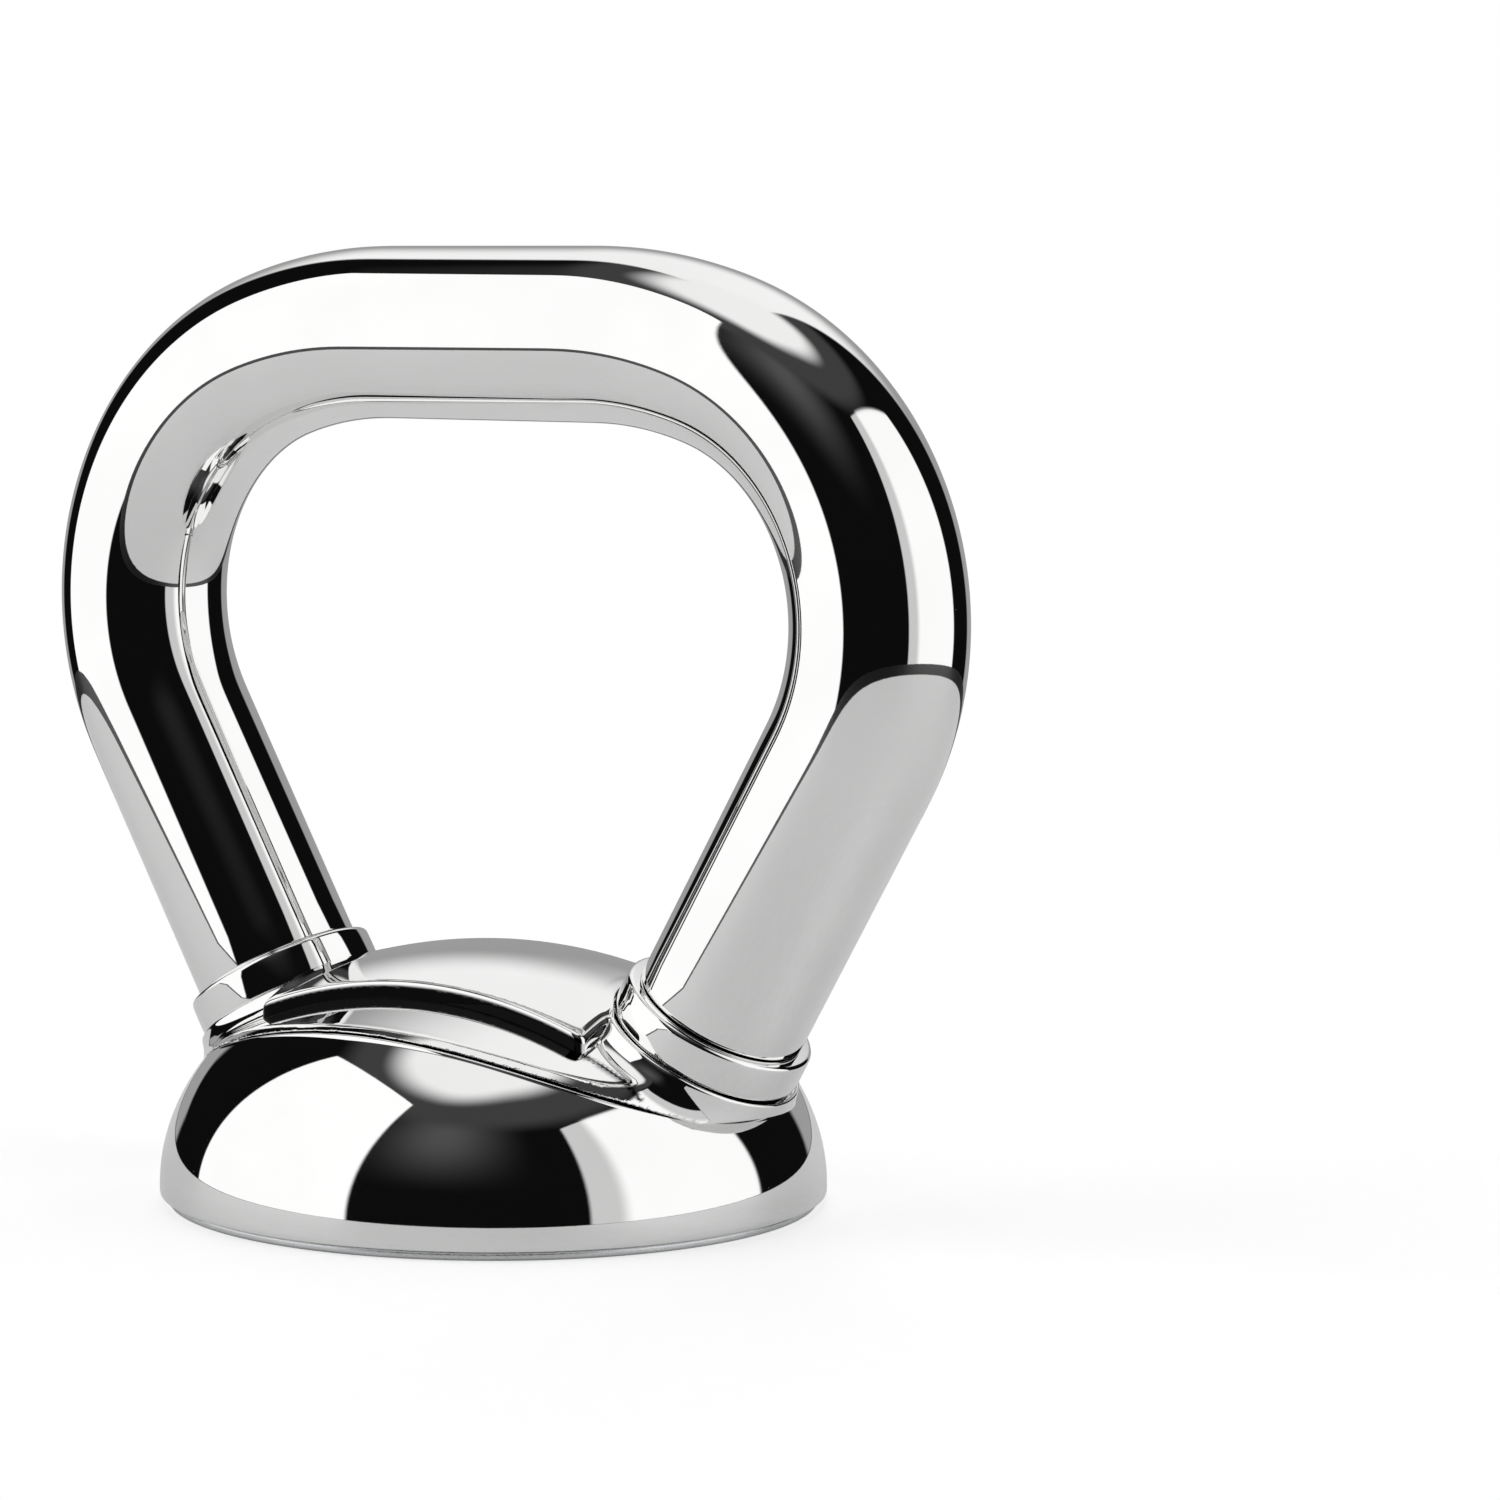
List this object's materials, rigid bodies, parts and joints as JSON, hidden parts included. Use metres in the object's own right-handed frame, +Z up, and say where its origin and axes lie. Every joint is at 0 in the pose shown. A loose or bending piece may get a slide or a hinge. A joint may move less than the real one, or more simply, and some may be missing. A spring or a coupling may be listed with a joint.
{
  "type": "swivel hoist ring",
  "caption": "Polished swivel lifting ring: a trapezoidal round-bar bail on a domed head that turns without limit on a ball bearing about a tapped hub with a flat seat.",
  "frame": {"origin": "centre of the seat: the point where the swivel axis meets the plane that the seat plate rests on", "axes": "+Z up along the swivel axis, away from the load; +X across the bail's width; +Y through the bail's eye"},
  "size_m": [0.095, 0.06, 0.0852],
  "materials": {
    "polished_chrome": "mirror polished",
    "turned_steel": "fine turned",
    "hardened_steel": "ground",
    "brass": "satin",
    "seal_rubber": "matt"
  },
  "bodies": {
    "base": {"seat_plate": "turned_steel", "threaded_hub": "turned_steel", "upper_race": "hardened_steel"},
    "head": {"bail": "polished_chrome", "left_collar": "polished_chrome", "right_collar": "polished_chrome", "left_leg_pin": "hardened_steel", "right_leg_pin": "hardened_steel", "yoke": "polished_chrome", "dome_shell": "polished_chrome", "retaining_nut": "turned_steel", "nut_lock_screw": "hardened_steel", "lower_race": "hardened_steel", "closing_ring": "turned_steel", "closing_screw_1": "hardened_steel", "closing_screw_2": "hardened_steel", "closing_screw_3": "hardened_steel", "closing_screw_4": "hardened_steel", "hub_seal": "seal_rubber", "wiper_seal": "seal_rubber"},
    "ball_ring": {"ball_cage": "brass", "bearing_ball_01": "hardened_steel", "bearing_ball_02": "hardened_steel", "bearing_ball_03": "hardened_steel", "bearing_ball_04": "hardened_steel", "bearing_ball_05": "hardened_steel", "bearing_ball_06": "hardened_steel", "bearing_ball_07": "hardened_steel", "bearing_ball_08": "hardened_steel", "bearing_ball_09": "hardened_steel", "bearing_ball_10": "hardened_steel", "bearing_ball_11": "hardened_steel", "bearing_ball_12": "hardened_steel", "bearing_ball_13": "hardened_steel", "bearing_ball_14": "hardened_steel", "bearing_ball_15": "hardened_steel", "bearing_ball_16": "hardened_steel"}
  },
  "joints": [
    {"name": "swivel", "type": "hinge", "parent": "base", "child": "head", "pos_m": [0, 0, 0], "axis": [0, 0, 1], "continuous": true},
    {"name": "ball_orbit", "type": "hinge", "parent": "base", "child": "ball_ring", "pos_m": [0, 0, 0.00775], "axis": [0, 0, 1], "continuous": true}
  ],
  "couplings": [
    {"joint": "ball_orbit", "follows": "swivel", "ratio": 0.5}
  ]
}
